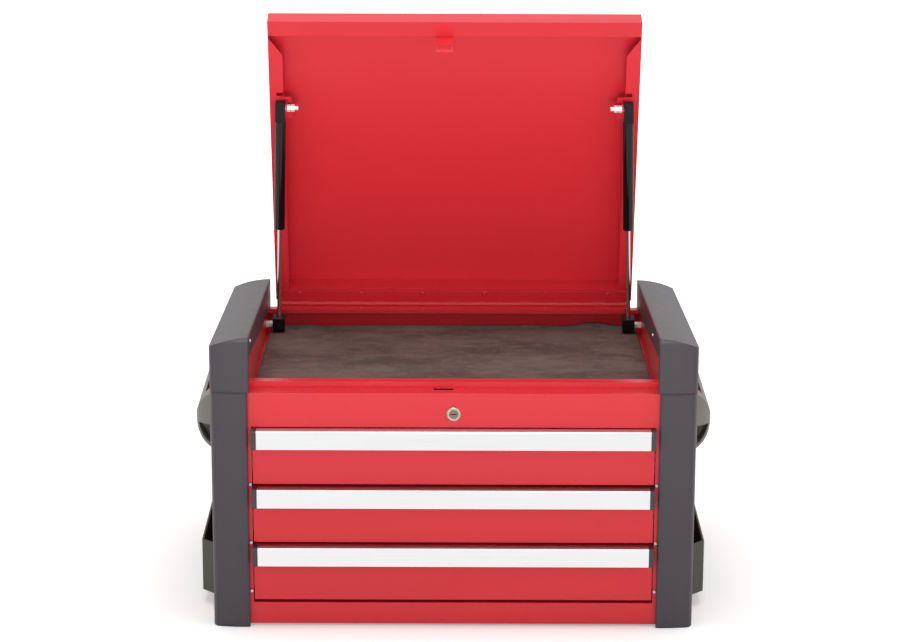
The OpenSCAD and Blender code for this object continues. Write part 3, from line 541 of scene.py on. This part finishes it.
def floor_material():
    """White, with the object's shadow near it; further off, it glows white to the camera."""
    s = Shader("floor", Roughness=0.9, Base_Color=(0.9, 0.9, 0.9, 1), Specular_IOR_Level=0.0)
    path = s.node("ShaderNodeLightPath")
    reach = s.node("ShaderNodeVectorMath", operation="LENGTH")
    s.link(s.node("ShaderNodeTexCoord").outputs["Object"], reach.inputs[0])
    far = s.spread(reach.outputs["Value"], SHADOW_GLOW, 1.0, *SHADOW_REACH)
    seen = s.multiply(path.outputs["Is Camera Ray"], far)
    mirrored = s.node("ShaderNodeMath", operation="MULTIPLY_ADD")
    s.link(path.outputs["Is Glossy Ray"], mirrored.inputs[0])
    mirrored.inputs[1].default_value = MIRRORED_GLOW
    s.link(seen, mirrored.inputs[2])
    glow = s.node("ShaderNodeEmission", Color=(1, 1, 1, 1))
    s.link(mirrored.outputs[0], glow.inputs["Strength"])
    both = s.node("ShaderNodeAddShader")
    s.link(s.bsdf.outputs[0], both.inputs[0])
    s.link(glow.outputs[0], both.inputs[1])
    s.link(both.outputs[0], s.tree.nodes["Material Output"].inputs["Surface"])
    return s.mat


def make_floor():
    mesh = bpy.data.meshes.new("floor")
    corners = [(x * FLOOR_HALF, y * FLOOR_HALF, 0) for x, y in ((-1, -1), (1, -1), (1, 1), (-1, 1))]
    mesh.from_pydata(corners, [], [(0, 1, 2, 3)])
    mesh.materials.append(floor_material())
    floor = bpy.data.objects.new("floor", mesh)
    floor.location.z = -FLOOR_DROP
    bpy.context.scene.collection.objects.link(floor)


def make_world():
    """A white world that lights the object at a plain level and is seen at full white."""
    light = 0.67
    world = bpy.data.worlds.new("studio")
    bpy.context.scene.world = world
    world.use_nodes = True
    tree = world.node_tree
    back = tree.nodes["Background"]
    back.inputs["Color"].default_value = (1, 1, 1, 1)
    path = tree.nodes.new("ShaderNodeLightPath")
    seen = tree.nodes.new("ShaderNodeMath")
    seen.operation = "MAXIMUM"
    tree.links.new(path.outputs["Is Camera Ray"], seen.inputs[0])
    tree.links.new(path.outputs["Is Glossy Ray"], seen.inputs[1])
    level = tree.nodes.new("ShaderNodeMapRange")
    level.inputs["To Min"].default_value = light
    level.inputs["To Max"].default_value = 1.0
    tree.links.new(seen.outputs[0], level.inputs["Value"])
    tree.links.new(level.outputs["Result"], back.inputs["Strength"])


def area_light(name, place, target, size, watts):
    """A rectangular lamp that points at a target."""
    data = bpy.data.lights.new(name, "AREA")
    data.shape = "RECTANGLE"
    data.size, data.size_y = size
    data.energy = watts
    obj = bpy.data.objects.new(name, data)
    obj.location = place
    obj.rotation_euler = (Vector(target) - Vector(place)).to_track_quat("-Z", "Y").to_euler()
    bpy.context.scene.collection.objects.link(obj)
    return obj


def make_lights():
    """Two lamps in front, one above, and one that reaches into the open lid."""
    area_light("key", place=(-1.5, -2.7, 0.5), target=(0, 0, 0.25), size=(1.4, 1.0), watts=6.6)
    area_light("fill", place=(1.6, -2.7, 0.45), target=(0, 0, 0.25), size=(1.4, 1.0), watts=6)
    area_light("top", place=(0, -0.1, 2.6), target=(0, 0, 0.3), size=(1.8, 1.2), watts=29)
    lid_light = area_light("lid_light", place=(0, -2.3, 0.35), target=(0, 0.2, 0.92), size=(1.6, 0.4),
                           watts=3.7)
    lid_light.data.spread = math.radians(50)
    lid_light.visible_glossy = False


# The camera that was fitted to the photo's edges
CAMERA_PLACE = (-0.0053, -3.7852, 1.3684)
CAMERA_TILT = 75.16
CAMERA_ROLL = 0.18
SENSOR_MM = 36
LENS_MM = 112.04


def make_camera():
    data = bpy.data.cameras.new("camera")
    data.sensor_fit = "HORIZONTAL"
    data.sensor_width = SENSOR_MM
    data.lens = LENS_MM
    data.clip_end = 100
    camera = bpy.data.objects.new("camera", data)
    camera.matrix_world = (Matrix.Translation(CAMERA_PLACE)
                           @ Matrix.Rotation(math.radians(CAMERA_TILT), 4, "X")
                           @ Matrix.Rotation(math.radians(CAMERA_ROLL), 4, "Z"))
    bpy.context.scene.collection.objects.link(camera)
    bpy.context.scene.camera = camera


make_floor()
make_world()
make_lights()
make_camera()
bpy.context.scene.view_settings.view_transform = "Standard"
